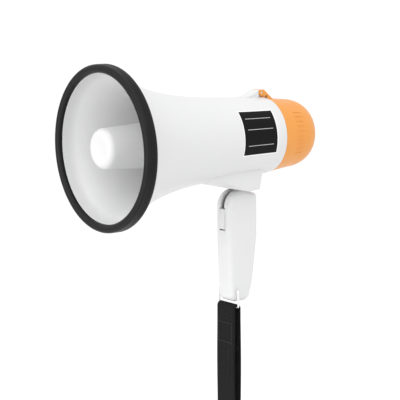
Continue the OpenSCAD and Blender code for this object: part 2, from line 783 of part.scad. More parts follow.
module volume_pot() {
    shaft_y0 = wheel_y - wheel_t / 2;
    body_y0 = wheel_y + wheel_t / 2 + 0.4;
    color([0.45, 0.46, 0.48]) place() {
        rod_y(wheel_x, 0, shaft_y0, body_y0 + 0.5, 2.5);
        translate([wheel_x - 1.2, body_y0, -5]) cube([control_x - 0.8 - wheel_x + 1.2, 4, 10]);
    }
}

module volume_wheel() {
    notches = 24;
    color([0.20, 0.20, 0.21]) place() difference() {
        rod_y(wheel_x, 0, wheel_y - wheel_t / 2, wheel_y + wheel_t / 2, wheel_r);
        rod_y(wheel_x, 0, wheel_y - wheel_t, wheel_y + wheel_t, 2.5 + run_gap);
        for (i = [0:notches - 1]) let (a = 360 * i / notches)
            rod_y(wheel_x + wheel_r * cos(a), wheel_r * sin(a), wheel_y - wheel_t, wheel_y + wheel_t, 0.5);
    }
}

slider_x0 = -(cap_r(slider_y + 4) + 0.9);
slider_x1 = control_x - 5.2;
module mode_switch() {
    color([0.45, 0.46, 0.48]) place()
        translate([slider_x1 + 0.3, slider_y - slider_l / 2 - 0.4, -4])
            cube([control_x - 0.8 - slider_x1 - 0.3, slider_l + slider_travel + 0.8, 8]);
}

module mode_slider() {
    color([0.20, 0.20, 0.21]) place() difference() {
        translate([slider_x0, slider_y - slider_l / 2, -2]) cube([slider_x1 - slider_x0 + 0.2, slider_l, 4]);
        for (i = [-1:1]) translate([slider_x0 - 0.2, slider_y + i * 1.4 - 0.3, -3]) cube([0.6, 0.6, 6]);
    }
}

// A disc along X with rounded edges, the building block of the grip's form
module pill(y, z, r, half, edge) {
    e = min(edge, r - 0.2, half - 0.2);
    corner = [for (a = [0:15:90]) [r - e + e * sin(a), half - e + e * cos(a)]];
    translate([0, y, z]) across(0) rotate_extrude($fn = 64)
        polygon(concat([[0, half]], corner, [for (p = reversed(corner)) [p[0], -p[1]]], [[0, -half]]));
}

// Outer form of the grip, drawn in by inset all over
module grip_form(inset) {
    low_z = pin_z - grip_drop;
    half = half_w - inset;
    hull() {
        pill(pin_y, pin_z, shoulder_r - inset, half, grip_edge - inset);
        pill(pin_y + 15.2, pin_z + 8.2, 4.8 - inset, half, grip_edge - inset);
        pill(pin_y - shoulder_r + 12, pin_z - 34, 12 - inset, half, grip_edge - inset);
        pill(pin_y + 8.3, pin_z - 30, 12 - inset, half, grip_edge - inset);
        pill(pin_y - 0.4, low_z + 22.5, 15 - inset, half, grip_edge - inset);
        pill(pin_y - 6.5, low_z + 7.5, 7.5 - inset, half, grip_edge - inset);
        pill(pin_y + 2.6, low_z + 8.3, 8.3 - inset, half, grip_edge - inset);
    }
}

// One half of the grip: side is -1 for the left half and 1 for the right half
module grip_half(side) {
    difference() {
        union() {
            difference() {
                grip_form(0);
                grip_form(grip_wall);
            }
            intersection() {
                grip_form(grip_wall / 2);
                union() {
                    rod_x(pin_y, pin_z, -half_w, -boss_x, fold_pin_r + 2.6);
                    rod_x(pin_y, pin_z, boss_x, half_w, fold_pin_r + 2.6);
                    rod_x(bail_y, bail_z, -half_w, half_w, bail_hole_r + 1.8);
                    rod_x(trig_y, trig_z, -half_w, -trigger_w / 2 - free_gap, trig_pin_r + 1.6);
                    rod_x(trig_y, trig_z, trigger_w / 2 + free_gap, half_w, trig_pin_r + 1.6);
                    for (p = grip_screw_spots) rod_x(p[0], p[1], -half_w, half_w, 3.6);
                    switch_seat();
                }
            }
        }
        translate([side > 0 ? -grip_w : 0, 0, pin_z - 2 * grip_drop])
            cube([grip_w, 400, 4 * grip_drop]);
        // slot for the lug
        translate([-slot_half, front_y - 5, pin_z - neck_front - free_gap])
            cube([2 * slot_half, shoulder_r + 5 + neck_back + 2 * free_gap, 40]);
        // window for the trigger
        translate([-trigger_w / 2 - free_gap, front_y - 5, trig_z - trig_len - 2.4])
            cube([trigger_w + 2 * free_gap, 5 + grip_wall + 2.5, trig_len + 6]);
        rod_x(pin_y, pin_z, -pin_half - 0.3, pin_half + 0.3, fold_pin_r + run_gap);
        rod_x(bail_y, bail_z, -half_w - 1, half_w + 1, bail_hole_r);
        rod_x(trig_y, trig_z, -half_w + 2.6, half_w - 2.6, trig_pin_r);
        for (p = grip_screw_spots) {
            rod_x(p[0], p[1], -half_w - 1, -half_w + 2.4, 2.7);
            rod_x(p[0], p[1], -half_w, 0.01, 1.5);
            rod_x(p[0], p[1], 0, half_w - 3, 1.25);
        }
    }
}

// Ribs on both halves that hold the talk switch
module switch_seat() {
    for (z = [switch_z - switch_h / 2 - 1.6, switch_z + switch_h / 2 + 0.1])
        translate([-half_w, switch_y - 0.5, z]) cube([grip_w, 7, 1.5]);
}

module grip_left() {
    color(white) place() grip_half(-1);
}

module grip_right() {
    color([0.90, 0.90, 0.89]) place() grip_half(1);
}

module grip_screws() {
    color(steel) place() for (p = grip_screw_spots) difference() {
        union() {
            rod_x(p[0], p[1], -half_w + 0.6, -half_w + 2.4, 2.5);
            rod_x(p[0], p[1], -half_w + 2, 6, 1.25);
        }
        for (a = [0, 90]) translate([-half_w + 0.5, p[0], p[1]]) rotate([a, 0, 0])
            translate([0, -1.3, -0.25]) cube([0.9, 2.6, 0.5]);
    }
}

// Leaf spring that bears on the lug's eye and holds the grip open or folded
module detent_spring() {
    y0 = pin_y + eye_r + free_gap;
    leaf_t = 0.5;
    front = [[y0, pin_z + 3], [y0, pin_z], [y0 - 0.6, pin_z - 10], [y0 - 0.7, pin_z - 20]];
    color(steel) place() slab(6) polygon(concat(front, [for (p = reversed(front)) [p[0] + leaf_t, p[1]]]));
}

// Talk switch behind the trigger
switch_h = 10;
switch_y = trig_y + 5.6;
switch_z = trig_z - 11;
module talk_switch() {
    color([0.16, 0.17, 0.19]) place() {
        translate([-3, switch_y, switch_z - switch_h / 2]) cube([6, 6, switch_h]);
        translate([-1.2, switch_y - 0.9, switch_z + 1]) cube([2.4, 1, 2.4]);
    }
}

module trigger() {
    y = trig_y;
    z = trig_z;
    f = front_y;
    color([0.88, 0.88, 0.87]) place() difference() {
        union() {
            slab(trigger_w) polygon([
                [f + 0.4, z + 2.2], [f - trig_proud, z - trig_len + 1.6],
                [f - trig_proud + 0.9, z - trig_len - 0.2],
                [f + 0.6, z - trig_len - 0.6], [f + grip_wall + 0.4, z - trig_len - 0.6],
                [f + grip_wall + 0.4, z - trig_len - 4], [f + grip_wall + 2, z - trig_len - 4],
                [f + grip_wall + 2, z - 10.1], [f + 8.6, z - 9.8], [f + 8.6, z - 7.8], [y + 1.2, z - 6.8],
                [y + 1.6, z - 2.2], [y + 1.4, z + 2.2], [y - 1, z + 2.5]
            ]);
            rod_x(y, z, -trigger_w / 2, trigger_w / 2, trig_pin_r + 1.35);
        }
        rod_x(y, z, -trigger_w, trigger_w, trig_pin_r + run_gap);
    }
}

module trigger_pin() {
    color(steel) place() rod_x(trig_y, trig_z, -half_w + 2.6, half_w - 2.6, trig_pin_r);
}

// Small coil between the trigger and the talk switch's case
module trigger_spring() {
    y0 = front_y + grip_wall + 2;
    color(steel) place()
        translate([0, 0, switch_z - 2.3]) along(y0) cone_coil(1.5, 1.5, switch_y - y0, 4, 0.25);
}

// Wire bail: its ends turn in the grip's cross hole and its bar carries the strap
module strap_bail() {
    in_x = half_w - 2.5;
    bend = 2.2;
    module corner(z, up) {
        translate([bail_half - bend, bail_y, z]) intersection() {
            rotate([90, 0, 0]) rotate_extrude() translate([bend, 0]) circle(r = wire_r, $fn = 24);
            translate([0, -2 * bend, up ? 0 : -3 * bend]) cube([3 * bend, 4 * bend, 3 * bend]);
        }
    }
    color(steel) place() {
        for (s = [0, 1]) mirror([s, 0, 0]) {
            rod_x(bail_y, bail_z, in_x, bail_half - bend, wire_r);
            translate([bail_half, bail_y, bar_z + bend])
                cylinder(r = wire_r, h = bail_z - bar_z - 2 * bend, $fn = 48);
            corner(bail_z - bend, true);
            corner(bar_z + bend, false);
        }
        rod_x(bail_y, bar_z, -bail_half + bend, bail_half - bend, wire_r);
    }
}

// Webbing loop over the bail's bar
module wrist_strap() {
    half = 4.3;
    top_z = bar_z + wire_r + 0.2 + strap_t;
    bend_z = top_z - half;
    low_z = top_z - strap_drop + half;
    color(black) place() slab(strap_w) difference() {
        union() {
            translate([bail_y, bend_z]) circle(r = half);
            translate([bail_y, low_z]) circle(r = half);
            translate([bail_y - half, low_z]) square([2 * half, bend_z - low_z]);
        }
        translate([bail_y, bend_z]) circle(r = half - strap_t);
        translate([bail_y, low_z]) circle(r = half - strap_t);
        translate([bail_y - half + strap_t, low_z]) square([2 * (half - strap_t), bend_z - low_z]);
    }
}

horn_shell();
rim_ring();
reflector();
tone_tube();
throat_screws();
driver_gasket();
throat_plate();
diaphragm();
voice_coil();
top_plate();
magnet();
pole_yoke();
driver_screws();
amp_board();
board_parts();
heat_sink();
board_screws();
battery_holder();
battery_cells();
contact_springs();
driver_leads();
name_plate();
saddle_bracket();
bracket_screws();
fold_pin();
cap_pin();
rear_cap();
mic_grille();
mic_foam();
microphone();
contact_carrier();
cap_contacts();
carrier_screws();
control_board();
volume_pot();
volume_wheel();
mode_switch();
mode_slider();
grip_left();
grip_right();
grip_screws();
detent_spring();
trigger();
trigger_pin();
trigger_spring();
talk_switch();
strap_bail();
wrist_strap();
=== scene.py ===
import math

import bmesh
import bpy
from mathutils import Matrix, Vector


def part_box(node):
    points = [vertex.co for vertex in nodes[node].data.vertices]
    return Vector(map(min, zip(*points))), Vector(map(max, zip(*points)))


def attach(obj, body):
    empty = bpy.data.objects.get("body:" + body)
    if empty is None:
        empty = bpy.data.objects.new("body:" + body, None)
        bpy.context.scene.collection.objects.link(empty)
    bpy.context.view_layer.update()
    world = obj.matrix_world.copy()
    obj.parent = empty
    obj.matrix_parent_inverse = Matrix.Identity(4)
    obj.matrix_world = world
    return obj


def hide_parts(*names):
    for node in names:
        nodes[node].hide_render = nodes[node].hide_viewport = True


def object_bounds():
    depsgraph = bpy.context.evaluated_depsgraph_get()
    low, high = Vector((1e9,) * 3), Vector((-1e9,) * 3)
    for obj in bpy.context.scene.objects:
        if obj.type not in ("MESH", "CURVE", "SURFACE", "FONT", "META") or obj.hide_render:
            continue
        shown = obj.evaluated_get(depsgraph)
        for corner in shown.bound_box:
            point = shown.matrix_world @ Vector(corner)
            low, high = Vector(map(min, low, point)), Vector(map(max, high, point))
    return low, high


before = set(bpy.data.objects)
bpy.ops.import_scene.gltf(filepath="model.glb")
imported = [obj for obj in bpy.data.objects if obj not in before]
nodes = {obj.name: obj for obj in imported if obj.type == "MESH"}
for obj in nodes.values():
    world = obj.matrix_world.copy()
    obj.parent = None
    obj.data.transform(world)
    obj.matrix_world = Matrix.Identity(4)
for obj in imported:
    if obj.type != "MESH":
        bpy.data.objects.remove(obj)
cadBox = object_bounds()
print("frame loaded:", len(nodes), "nodes")

# camera and light

cameraView = {
    "position": (1.25342, -0.98962, 0.29137),
    "turn": (81.551, 0.328, 52.947),
    "lens": 144,
}
bpy.ops.object.select_all(action="DESELECT")
bpy.ops.object.camera_add(
    location=cameraView["position"],
    rotation=[math.radians(a) for a in cameraView["turn"]],
)
camera = bpy.context.object
camera.data.lens = cameraView["lens"]
camera.data.sensor_width = 36
bpy.context.scene.camera = camera

studio = {
    "sky": (1.0, 1.0, 1.0),
    "skyStrength": 1.0,
    "floorHeight": -0.60,
    "floorSize": 240,
    "floorColour": (0.84, 0.84, 0.84, 1),
}
softBoxes = [
    {"name": "overhead", "position": (0.1, -0.3, 2.6), "size": 2.6, "watts": 8},
    {"name": "mouthFill", "position": (-0.3, -2.4, 0.3), "size": 1.8, "watts": 17},
    {"name": "rightSide", "position": (2.6, 0.5, 1.6), "size": 1.4, "watts": 4},
]
aimPoint = Vector((0, 0, 0.09))
daylight = {"bearing": -38, "height": 50, "strength": 1.0, "softness": 1.2}

world = bpy.data.worlds.new("studioSky")
world.use_nodes = True
world.node_tree.nodes["Background"].inputs["Color"].default_value = (*studio["sky"], 1)
world.node_tree.nodes["Background"].inputs["Strength"].default_value = studio["skyStrength"]
bpy.context.scene.world = world
bpy.context.scene.view_settings.view_transform = "Standard"

for box in softBoxes:
    bpy.ops.object.light_add(type="AREA", location=box["position"])
    lamp = bpy.context.object
    lamp.name = box["name"]
    lamp.data.shape = "DISK"
    lamp.data.size = box["size"]
    lamp.data.energy = box["watts"]
    lamp.rotation_euler = (aimPoint - lamp.location).to_track_quat("-Z", "Y").to_euler()

bearing, height = math.radians(daylight["bearing"]), math.radians(daylight["height"])
towardsLight = Vector((math.cos(height) * math.cos(bearing), math.cos(height) * math.sin(bearing),
                       math.sin(height)))
bpy.ops.object.light_add(type="SUN", location=towardsLight * 3,
                         rotation=(-towardsLight).to_track_quat("-Z", "Y").to_euler())
bpy.context.object.name = "softDaylight"
bpy.context.object.data.energy = daylight["strength"]
bpy.context.object.data.angle = daylight["softness"]
print("camera and lights ready")


# shader maths on sockets

class Wire:
    def __init__(self, finish, socket):
        self.finish = finish
        self.socket = socket

    def maths(self, operation, *others):
        return self.finish.node(
            "ShaderNodeMath", {"operation": operation},
            **{str(i): v for i, v in enumerate((self, *others))}
        )

    def __add__(self, other):
        return self.maths("ADD", other)

    __radd__ = __add__

    def __sub__(self, other):
        return self.maths("SUBTRACT", other)

    def __rsub__(self, other):
        return self.finish.node("ShaderNodeMath", {"operation": "SUBTRACT"}, **{"0": other, "1": self})

    def __mul__(self, other):
        return self.maths("MULTIPLY", other)

    __rmul__ = __mul__

    def __truediv__(self, other):
        return self.maths("DIVIDE", other)

    def __lt__(self, other):
        return self.maths("LESS_THAN", other)

    def __gt__(self, other):
        return self.maths("GREATER_THAN", other)

    def sine(self):
        return self.maths("SINE")

    def size(self):
        return self.maths("ABSOLUTE")

    def most(self, other):
        return self.maths("MAXIMUM", other)

    def least(self, other):
        return self.maths("MINIMUM", other)


class Finish:
    # one material; what is named here sits on the shader's own sockets
    def __init__(self, name, **values):
        self.material = bpy.data.materials.new(name)
        self.material.use_nodes = True
        self.tree = self.material.node_tree
        self.shader = self.tree.nodes["Principled BSDF"]
        for socket, value in values.items():
            self.shader.inputs[socket.replace("_", " ")].default_value = value

    def node(self, kind, settings=None, output=0, **sockets):
        made = self.tree.nodes.new(kind)
        for key, value in (settings or {}).items():
            if key == "stops":
                ramp = made.color_ramp
                while len(ramp.elements) < len(value):
                    ramp.elements.new(0.5)
                for element, (place, colour) in zip(ramp.elements, value):
                    element.position = place
                    element.color = (*colour, 1)
            else:
                setattr(made, key, value)
        for key, value in sockets.items():
            target = made.inputs[int(key) if key.isdigit() else key.replace("_", " ")]
            if isinstance(value, Wire):
                self.tree.links.new(value.socket, target)
            else:
                target.default_value = value
        return Wire(self, made.outputs[output])

    def place(self):
        return self.node("ShaderNodeTexCoord", output="Object")

    def sheetPlace(self):
        return self.node("ShaderNodeTexCoord", output="UV")

    def axes(self, vector):
        split = self.node("ShaderNodeSeparateXYZ", Vector=vector)
        return [Wire(self, split.socket.node.outputs[i]) for i in range(3)]

    def noise(self, scale, detail=3, rough=0.5, vector=None):
        return self.node("ShaderNodeTexNoise", Vector=vector or self.place(),
                         Scale=scale, Detail=detail, Roughness=rough)

    def stretched(self, scale, vector=None):
        return self.node("ShaderNodeMapping", Vector=vector or self.place(), Scale=scale)

    def blend(self, factor, first, second):
        mixed = self.node("ShaderNodeMix", {"data_type": "RGBA"}, output="Result")
        made = mixed.socket.node
        for socket, value in ((made.inputs[0], factor), (made.inputs[6], first), (made.inputs[7], second)):
            if isinstance(value, Wire):
                self.tree.links.new(value.socket, socket)
            else:
                socket.default_value = value if isinstance(value, float) else (*value, 1)
        return Wire(self, made.outputs[2])

    def feed(self, socket, wire):
        self.tree.links.new(wire.socket, self.shader.inputs[socket])

    def relief(self, height, depth):
        bump = self.node("ShaderNodeBump", Height=height, Distance=depth)
        self.feed("Normal", bump)


def mouldedPlastic(name, colour, rough, shift=0.012, grain=0.000012, grainScale=2600, coat=0.0, gloss=0.5):
    f = Finish(name, Coat_Weight=coat, Coat_Roughness=0.12, Specular_IOR_Level=gloss)
    cloud = f.noise(38, 4, 0.6)
    dust = f.noise(420, 3, 0.65)
    lighter = [min(1, c * (1 + shift)) for c in colour]
    darker = [c * (1 - 2.2 * shift) for c in colour]
    tint = f.blend(cloud, darker, lighter)
    speck = (dust > 0.735) * 0.16
    f.feed("Base Color", f.blend(speck, tint, [c * 0.9 for c in colour]))
    f.feed("Roughness", cloud * 0.10 + dust * 0.05 + (rough - 0.075))
    fine = f.noise(grainScale, 2, 0.5)
    sink = f.noise(22, 1, 0.4)
    f.relief(fine + sink * 9, grain)
    return f.material


def rubberFinish(name):
    f = Finish(name, Specular_IOR_Level=0.17)
    cloud = f.noise(55, 4, 0.6)
    scuff = f.noise(0.9, 4, 0.6, f.stretched((160, 900, 160)))
    f.feed("Base Color", f.blend(cloud, (0.005, 0.005, 0.0053), (0.012, 0.012, 0.0125)))
    f.feed("Roughness", cloud * 0.16 + scuff * 0.14 + 0.27)
    f.relief(f.noise(1700, 3, 0.6) + scuff * 0.8, 0.00003)
    return f.material


def metalFinish(name, colour, rough, stretch=(1, 1, 1), depth=0.000008, metallic=1.0):
    f = Finish(name, Metallic=metallic)
    brushed = f.noise(900, 3, 0.6, f.stretched(stretch))
    tarnish = f.noise(140, 4, 0.6)
    f.feed("Base Color", f.blend(tarnish, [c * 0.86 for c in colour], colour))
    f.feed("Roughness", brushed * 0.14 + tarnish * 0.12 + (rough - 0.13))
    f.relief(brushed, depth)
    return f.material


def boardFinish(name):
    f = Finish(name, Coat_Weight=0.25, Coat_Roughness=0.2)
    x, _, z = f.axes(f.place())
    tracks = f.node("ShaderNodeTexBrick", {"offset": 0.5}, Vector=f.place(), Scale=260.0, Mortar_Size=0.03)
    lane = (x * 1500).sine() * (z * 1100).sine() > 0.55
    cloud = f.noise(300, 3, 0.6)
    mask = f.blend(cloud, (0.012, 0.10, 0.04), (0.02, 0.15, 0.06))
    f.feed("Base Color", f.blend(lane * 0.5, mask, (0.05, 0.27, 0.11)))
    f.feed("Roughness", cloud * 0.2 + 0.3)
    f.relief(lane + tracks * 0.2, 0.00003)
    return f.material


def cellFinish(name, bandFrom):
    f = Finish(name, Metallic=0.55)
    _, y, _ = f.axes(f.place())
    gold = y > bandFrom
    cloud = f.noise(260, 3, 0.6)
    jacket = f.blend(cloud, (0.012, 0.016, 0.03), (0.02, 0.028, 0.05))
    f.feed("Base Color", f.blend(gold, jacket, (0.62, 0.36, 0.13)))
    f.feed("Roughness", cloud * 0.15 + 0.24)
    f.relief(f.noise(1200, 2, 0.5), 0.00001)
    return f.material


def foamFinish(name):
    f = Finish(name, Roughness=0.95, Specular_IOR_Level=0.2)
    pores = f.node("ShaderNodeTexVoronoi", Vector=f.place(), Scale=1500.0)
    f.feed("Base Color", f.blend(pores, (0.004, 0.004, 0.004), (0.045, 0.045, 0.047)))
    f.relief(pores, 0.0004)
    return f.material


labelLook = {
    "border": 0.022, "film": (0.0022, 0.0022, 0.0025), "line": (0.86, 0.86, 0.86),
    "rules": (0.80, 0.56, 0.22), "ruleEnds": (0.13, 0.87), "ruleHalf": 0.006, "ruleShade": 0.55,
}


def labelFinish(name):
    f = Finish(name, Specular_IOR_Level=0.12)
    u, v, _ = f.axes(f.sheetPlace())
    edge = (u - 0.5).size().most((v - 0.5).size())
    border = edge > 0.5 - labelLook["border"]
    rules = None
    left, right = labelLook["ruleEnds"]
    for height in labelLook["rules"]:
        rule = ((v - height).size() < labelLook["ruleHalf"]) * (u > left) * (u < right)
        rules = rule if rules is None else rules.most(rule)
    cloud = f.noise(500, 3, 0.6)
    film = f.blend(cloud, labelLook["film"], [c * 1.7 for c in labelLook["film"]])
    dim = f.blend(rules * labelLook["ruleShade"], film, labelLook["line"])
    f.feed("Base Color", f.blend(border, dim, labelLook["line"]))
    f.feed("Roughness", cloud * 0.12 + 0.30)
    f.relief(f.noise(1400, 2, 0.5), 0.000006)
    return f.material


webLook = {
    "ribs": 13, "picksPerMetre": 620, "selvedge": 0.462,
    "thread": (0.0025, 0.0025, 0.0028), "light": (0.013, 0.013, 0.014),
}


def webbingFinish(name, length):
    f = Finish(name, Specular_IOR_Level=0.12)
    u, v, _ = f.axes(f.sheetPlace())
    ribs = (u * (2 * math.pi * webLook["ribs"])).sine()
    picks = (v * (2 * math.pi * webLook["picksPerMetre"] * length) + ribs * 1.3).sine()
    twist = f.noise(2400, 3, 0.6)
    selvedge = (u - 0.5).size() > webLook["selvedge"]
    weave = ribs * 0.5 + picks * 0.32 + twist * 0.25
    f.feed("Base Color", f.blend((weave * 0.4 + 0.42).most(0.0).least(1.0), webLook["thread"],
                                 webLook["light"]))
    f.feed("Roughness", twist * 0.2 + 0.62)
    f.relief(weave - selvedge * 0.6, 0.00028)
    return f.material


finishes = {
    "white": mouldedPlastic("mouldedWhite", (0.645, 0.646, 0.648), 0.38, coat=0.06),
    "gripWhite": mouldedPlastic("gripWhite", (0.65, 0.651, 0.653), 0.40, grain=0.00002, grainScale=1900),
    "orange": mouldedPlastic("mouldedOrange", (0.72, 0.285, 0.045), 0.36, shift=0.03, grain=0.00003,
                             grainScale=2100),
    "rubber": rubberFinish("rimRubber"),
    "darkPlastic": mouldedPlastic("darkPlastic", (0.012, 0.012, 0.013), 0.5, shift=0.12, grain=0.00004,
                                  gloss=0.2),
    "switchCase": mouldedPlastic("switchCase", (0.035, 0.036, 0.04), 0.45, shift=0.1),
    "coneFilm": mouldedPlastic("coneFilm", (0.36, 0.22, 0.10), 0.42, shift=0.08),
    "chips": mouldedPlastic("boardParts", (0.03, 0.034, 0.06), 0.42, shift=0.2),
    "leads": mouldedPlastic("leadSleeve", (0.45, 0.02, 0.015), 0.38, shift=0.05),
    "steel": metalFinish("platedSteel", (0.66, 0.67, 0.69), 0.32, (1, 8, 1)),
    "bailWire": metalFinish("bailWire", (0.80, 0.80, 0.79), 0.30, (6, 1, 1), metallic=0.75),
    "brass": metalFinish("plainBrass", (0.78, 0.55, 0.23), 0.3),
    "aluminium": metalFinish("plainAluminium", (0.76, 0.77, 0.79), 0.38, (1, 1, 6)),
    "ferrite": metalFinish("sinteredFerrite", (0.06, 0.06, 0.065), 0.62, depth=0.00005, metallic=0.3),
    "board": boardFinish("circuitBoard"),
    "cell": cellFinish("cellJacket", 0.0165),
    "foam": foamFinish("micFoam"),
}
nodeFinishes = {
    "white": ["horn_shell", "reflector", "tone_tube", "saddle_bracket"],
    "gripWhite": ["grip_left", "grip_right", "trigger"],
    "orange": ["rear_cap"],
    "rubber": ["rim_ring", "driver_gasket"],
    "darkPlastic": ["throat_plate", "battery_holder", "contact_carrier", "mic_grille", "volume_wheel",
                    "mode_slider",
                    "name_plate", "wrist_strap"],
    "switchCase": ["volume_pot", "mode_switch", "talk_switch"],
    "coneFilm": ["diaphragm"],
    "chips": ["board_parts"],
    "leads": ["driver_leads"],
    "steel": ["throat_screws", "driver_screws", "board_screws", "carrier_screws", "bracket_screws",
              "grip_screws",
              "contact_springs", "top_plate", "pole_yoke", "fold_pin", "cap_pin", "detent_spring",
              "trigger_pin",
              "trigger_spring"],
    "bailWire": ["strap_bail"],
    "brass": ["voice_coil", "cap_contacts"],
    "aluminium": ["heat_sink", "microphone"],
    "ferrite": ["magnet"],
    "board": ["amp_board", "control_board"],
    "cell": ["battery_cells"],
    "foam": ["mic_foam"],
}
for key, names in nodeFinishes.items():
    for name in names:
        nodes[name].data.materials.clear()
        nodes[name].data.materials.append(finishes[key])
print("finishes ready")


# modelling helpers

mm = 0.001
rimY = cadBox[0].y
hornZ = (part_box("rim_ring")[0].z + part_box("rim_ring")[1].z) / 2


def startFresh():
    if bpy.context.object and bpy.context.object.mode != "OBJECT":
        bpy.ops.object.mode_set(mode="OBJECT")
    bpy.ops.object.select_all(action="DESELECT")


def workOn(piece):
    startFresh()
    piece.select_set(True)
    bpy.context.view_layer.objects.active = piece


def intoEdit(kind="VERT"):
    bpy.ops.object.mode_set(mode="EDIT")
    bpy.ops.mesh.select_mode(type=kind)


def pick(piece, test, kind="VERT"):
    # selects what passes the test, in edit mode, by its place in the piece's own frame
    bpy.ops.mesh.select_mode(type=kind)
    bpy.ops.mesh.select_all(action="DESELECT")
    shape = bmesh.from_edit_mesh(piece.data)
    for part in {"VERT": shape.verts, "EDGE": shape.edges, "FACE": shape.faces}[kind]:
        if test(part):
            part.select_set(True)
    shape.select_flush_mode()
    bmesh.update_edit_mesh(piece.data)


def settle(piece, smooth=32, outward=True):
    # place goes into the mesh, doubles are merged and faces point out
    workOn(piece)
    bpy.ops.object.transform_apply(location=True, rotation=True, scale=True)
    intoEdit()
    bpy.ops.mesh.select_all(action="SELECT")
    bpy.ops.mesh.remove_doubles(threshold=1e-6)
    if outward:
        bpy.ops.mesh.normals_make_consistent(inside=False)
    bpy.ops.object.mode_set(mode="OBJECT")
    bpy.ops.object.shade_smooth_by_angle(angle=math.radians(smooth))
    return piece


def addModifier(piece, kind, **settings):
    workOn(piece)
    modifier = piece.modifiers.new(kind.title(), kind)
    for key, value in settings.items():
        setattr(modifier, key, value)
    bpy.ops.object.modifier_apply(modifier=modifier.name)
    return piece


def softEdges(piece, width, angle=35, segments=2):
    return addModifier(piece, "BEVEL", width=width * mm, segments=segments, limit_method="ANGLE",
                       angle_limit=math.radians(angle), use_clamp_overlap=True, harden_normals=False)


def dress(piece, finish, body, *replaced):
    piece.data.materials.clear()
    piece.data.materials.append(finishes[finish])
    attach(piece, body)
    if replaced:
        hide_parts(*replaced)
    return piece


def turnedShape(name, profile, sides, closed=True):
    # profile holds (radius, distance behind the rim) in mm: a ring is drawn, then extruded and sized along it
    startFresh()
    radius, y = profile[0]
    bpy.ops.mesh.primitive_circle_add(vertices=sides, radius=max(radius, 0.05) * mm,
                                      location=(0, rimY + y * mm, hornZ), rotation=(math.pi / 2, 0, 0))
    piece = bpy.context.object
    piece.name = name
    intoEdit()
    bpy.ops.mesh.select_all(action="SELECT")
    radius = max(radius, 0.05)
    for nextRadius, nextY in profile[1:] + (profile[:1] if closed else []):
        nextRadius = max(nextRadius, 0.05)
        bpy.ops.mesh.extrude_edges_move(TRANSFORM_OT_translate={"value": (0, (nextY - y) * mm, 0)})
        growth = nextRadius / radius
        bpy.ops.transform.resize(value=(growth, 1, growth), center_override=(0, rimY + nextY * mm, hornZ))
        radius, y = nextRadius, nextY
    if not closed:
        for end in (profile[0], profile[-1]):
            if end[0] <= 0.05:
                endY = (end[1]) * mm
                pick(piece, lambda v: math.hypot(*(piece.matrix_world @ v.co - Vector((0, rimY + endY,
                                                                                       hornZ)))
                                                 .to_tuple()) < 0.0002)
                bpy.ops.mesh.merge(type="CENTER")
    return settle(piece)


def drawnSlab(name, outline, x0, x1):
    # outline holds (row y, row z) in mm: a plane is shrunk to a point, drawn round the outline,
    # filled and pulled
    startFresh()
    y, z = outline[0]
    bpy.ops.mesh.primitive_plane_add(size=mm, location=(x0 * mm, y * mm, z * mm))
    piece = bpy.context.object
    piece.name = name
    intoEdit()
    bpy.ops.mesh.select_all(action="SELECT")
    bpy.ops.mesh.merge(type="CENTER")
    for nextY, nextZ in outline[1:]:
        bpy.ops.mesh.extrude_vertices_move(TRANSFORM_OT_translate={"value": (0, (nextY - y) * mm,
                                                                             (nextZ - z) * mm)})
        y, z = nextY, nextZ
    bpy.ops.mesh.select_all(action="SELECT")
    bpy.ops.mesh.edge_face_add()
    bpy.ops.mesh.extrude_region_move(TRANSFORM_OT_translate={"value": ((x1 - x0) * mm, 0, 0)})
    return settle(piece)


def tidyCopy(name, node, merge=0.004, flat=0.6):
    # a merged copy of a CAD node, its flat faces joined up, ready for soft edges
    startFresh()
    piece = bpy.data.objects.new(name, nodes[node].data.copy())
    bpy.context.scene.collection.objects.link(piece)
    workOn(piece)
    intoEdit()
    bpy.ops.mesh.select_all(action="SELECT")
    bpy.ops.mesh.remove_doubles(threshold=merge * mm)
    if flat:
        bpy.ops.mesh.dissolve_limited(angle_limit=math.radians(flat))
    bpy.ops.object.mode_set(mode="OBJECT")
    if piece.data.attributes.get("custom_normal"):
        piece.data.attributes.remove(piece.data.attributes["custom_normal"])
    return piece


def smoothBy(piece, angle):
    workOn(piece)
    bpy.ops.object.shade_smooth_by_angle(angle=math.radians(angle))
    return piece


# horn

horn = {
    "barrel": 38.6, "flare": 46.80, "flareLength": 48, "wall": 2.4, "length": 199.7,
    "lipRadius": 71.85, "lipY": 4.5, "seatRadius": 76, "flangeRadius": 78.6, "flangeY": (11.4, 12.6),
    "crownLength": 12, "seamRadius": 38.0, "collar": (34.4, 33.2, 203.0, 190.7),
    "ledge": (27, 100.55, 103.05), "blendY": 18.0, "lipSlope": -0.12, "sides": 192,
}


def hornOuter(y):
    radius = horn["barrel"] + horn["flare"] * math.exp(-y / horn["flareLength"])
    start = horn["length"] - horn["crownLength"]
    if y > start:
        full = horn["barrel"] + horn["flare"] * math.exp(-horn["length"] / horn["flareLength"]) - horn["seamRadius"]
        radius -= full * ((y - start) / horn["crownLength"]) ** 2
    return radius


def hornBore(y):
    slope = horn["flare"] / horn["flareLength"] * math.exp(-y / horn["flareLength"])
    full = horn["barrel"] + horn["flare"] * math.exp(-y / horn["flareLength"])
    return full - horn["wall"] * math.sqrt(1 + slope * slope)


flangeFront, flangeBack = horn["flangeY"]
collarOuter, collarInner, collarEnd, collarRoot = horn["collar"]
ledgeRadius, ledgeFront, ledgeBack = horn["ledge"]
outerYs = [flangeBack + (horn["length"] - flangeBack) * (i / 56) ** 1.3 for i in range(57)]
rearYs = [collarRoot - 2 - (collarRoot - 2 - ledgeBack) * i / 10 for i in range(11)]
boreYs = [ledgeFront - (ledgeFront - horn["blendY"]) * (1 - (1 - i / 40) ** 1.25) for i in range(40)]


